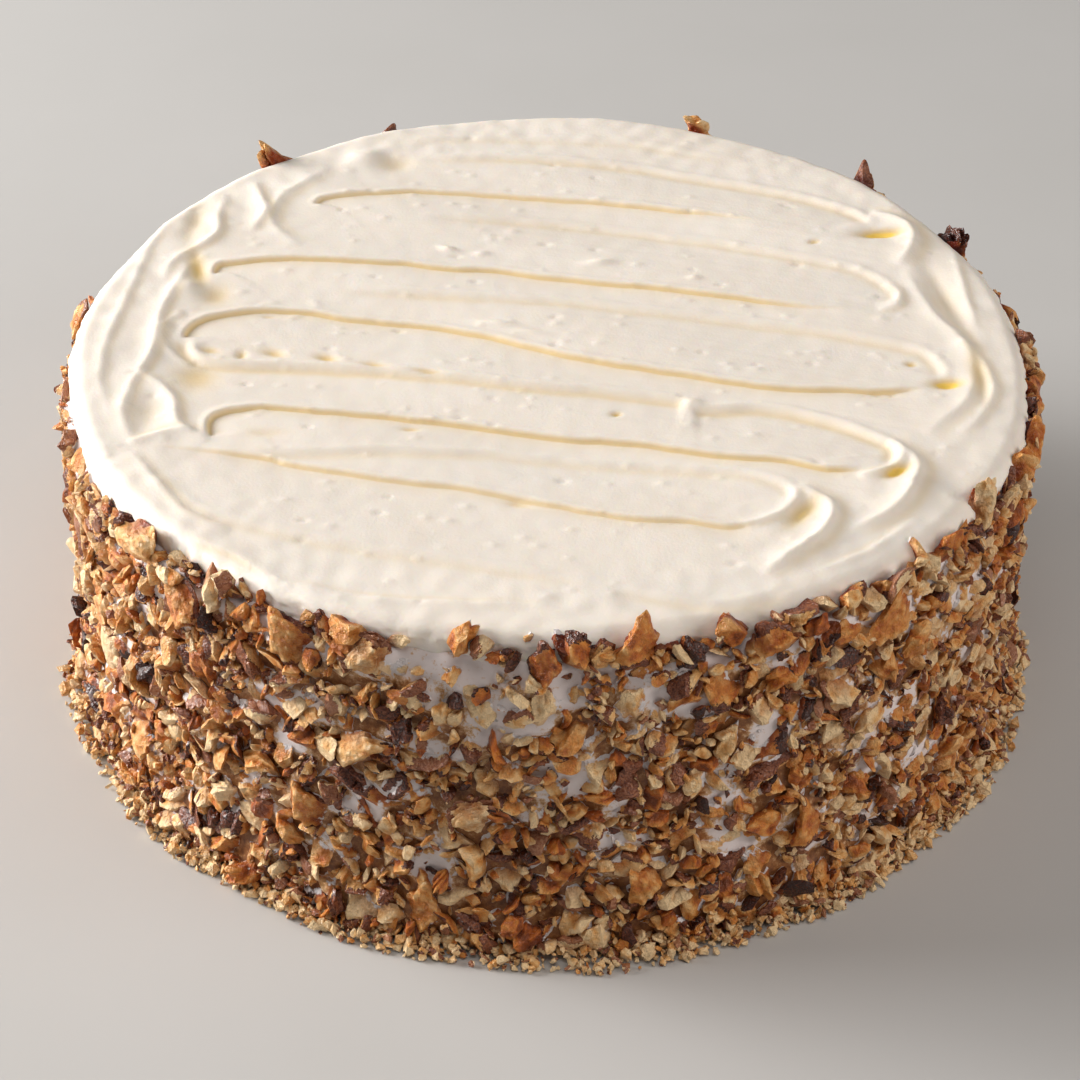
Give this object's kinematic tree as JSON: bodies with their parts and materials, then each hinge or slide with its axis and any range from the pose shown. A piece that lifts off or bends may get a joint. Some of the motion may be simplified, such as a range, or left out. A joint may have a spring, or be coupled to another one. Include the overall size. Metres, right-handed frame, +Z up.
{
  "type": "carrot cake",
  "caption": "Tall round uncut cake with a knife-spread icing top and a coat of chopped walnuts round the side.",
  "frame": {"origin": "centre of the cake's underside, on the surface it stands on", "axes": "+Z up; -Y is the front, where the icing is bare for a moment under the rim; +X is to the right seen from the front"},
  "size_m": [0.2509, 0.2472, 0.0959],
  "materials": {
    "cream_cheese_icing": "soft cream-cheese icing, spread with a knife, faint sheen",
    "side_icing": "thin smeared icing over cake, faint sheen",
    "chopped_walnut": "chopped walnut kernels, pale broken flesh and brown skin",
    "walnut_kernel": "broken walnut kernel, ridged brown skin outside, pale flesh where broken"
  },
  "bodies": {
    "root": {"cake_body": "side_icing", "icing_top": "cream_cheese_icing", "walnut_coat": "chopped_walnut", "walnut_piece_01": "walnut_kernel", "walnut_piece_02": "walnut_kernel", "walnut_piece_03": "walnut_kernel", "walnut_piece_04": "walnut_kernel", "walnut_piece_05": "walnut_kernel", "walnut_piece_06": "walnut_kernel", "walnut_piece_07": "walnut_kernel", "walnut_piece_08": "walnut_kernel", "walnut_piece_09": "walnut_kernel", "walnut_piece_10": "walnut_kernel", "walnut_piece_11": "walnut_kernel", "walnut_piece_12": "walnut_kernel", "walnut_piece_13": "walnut_kernel", "walnut_piece_14": "walnut_kernel", "walnut_piece_15": "walnut_kernel", "walnut_piece_16": "walnut_kernel", "walnut_piece_17": "walnut_kernel", "walnut_piece_18": "walnut_kernel", "walnut_piece_19": "walnut_kernel", "walnut_piece_20": "walnut_kernel", "walnut_piece_21": "walnut_kernel", "walnut_piece_22": "walnut_kernel", "walnut_piece_23": "walnut_kernel", "walnut_piece_24": "walnut_kernel", "walnut_piece_25": "walnut_kernel", "walnut_piece_26": "walnut_kernel", "walnut_piece_27": "walnut_kernel", "walnut_piece_28": "walnut_kernel", "walnut_piece_29": "walnut_kernel"}
  },
  "joints": []
}
